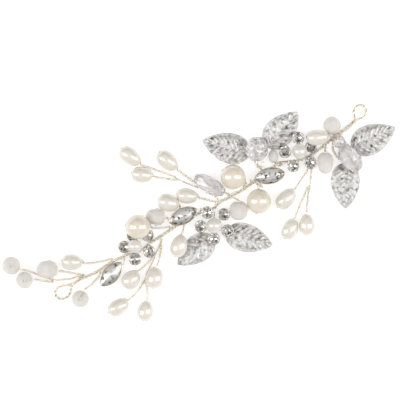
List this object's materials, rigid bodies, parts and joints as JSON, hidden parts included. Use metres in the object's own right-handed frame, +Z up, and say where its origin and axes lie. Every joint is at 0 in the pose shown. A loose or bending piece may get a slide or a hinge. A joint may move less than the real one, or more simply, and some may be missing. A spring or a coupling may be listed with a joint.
{
  "type": "hair vine",
  "caption": "Bridal hair vine: pearls, frosted beads, clear crystals, rhinestones and stamped silver leaves on twisted pale gold wire with an eyelet at each end.",
  "frame": {"origin": "centre of the vine's outline at the surface that it lies on", "axes": "+X along the vine from the left eyelet to the right one, +Y across it towards the upper leaves, +Z up from the surface"},
  "size_m": [0.1634, 0.0686, 0.0127],
  "materials": {
    "pearl": "pearl lustre",
    "cream_pearl": "pearl lustre",
    "frosted": "frosted",
    "crystal": "cut and polished",
    "rhinestone": "cut, foiled behind",
    "silver": "plated",
    "leaf": "stamped and plated",
    "gold_wire": "pale gold plate"
  },
  "bodies": {
    "root": {"rice_pearl_1": "pearl", "rice_pearl_2": "pearl", "rice_pearl_3": "pearl", "rice_pearl_4": "pearl", "rice_pearl_5": "pearl", "rice_pearl_6": "pearl", "rice_pearl_7": "pearl", "rice_pearl_8": "pearl", "rice_pearl_9": "pearl", "rice_pearl_10": "pearl", "rice_pearl_11": "pearl", "rice_pearl_12": "pearl", "rice_pearl_13": "pearl", "rice_pearl_14": "pearl", "rice_pearl_15": "pearl", "big_pearl_1": "cream_pearl", "big_pearl_2": "cream_pearl", "big_pearl_3": "cream_pearl", "small_pearl_1": "pearl", "small_pearl_2": "pearl", "small_pearl_3": "pearl", "frosted_bead_1": "frosted", "frosted_bead_2": "frosted", "frosted_bead_3": "frosted", "frosted_bead_4": "frosted", "frosted_bead_5": "frosted", "frosted_bead_6": "frosted", "frosted_bead_7": "frosted", "frosted_bead_8": "frosted", "frosted_bead_9": "frosted", "crystal_bead_1": "crystal", "crystal_bead_2": "crystal", "crystal_bead_3": "crystal", "crystal_bead_4": "crystal", "navette_stone_1": "rhinestone", "navette_stone_2": "rhinestone", "navette_stone_3": "rhinestone", "navette_setting_1": "silver", "navette_setting_2": "silver", "navette_setting_3": "silver", "leaf_1": "leaf", "leaf_2": "leaf", "leaf_3": "leaf", "leaf_4": "leaf", "leaf_5": "leaf", "leaf_6": "leaf", "cluster_stones_1": "rhinestone", "cluster_stones_2": "rhinestone", "cluster_stones_3": "rhinestone", "cluster_settings_1": "silver", "cluster_settings_2": "silver", "cluster_settings_3": "silver", "spine_wire": "gold_wire", "far_left_wires": "gold_wire", "lower_wires": "gold_wire", "upper_wires": "gold_wire", "middle_wires": "gold_wire", "right_wires": "gold_wire", "cluster_wires": "gold_wire"}
  },
  "joints": []
}
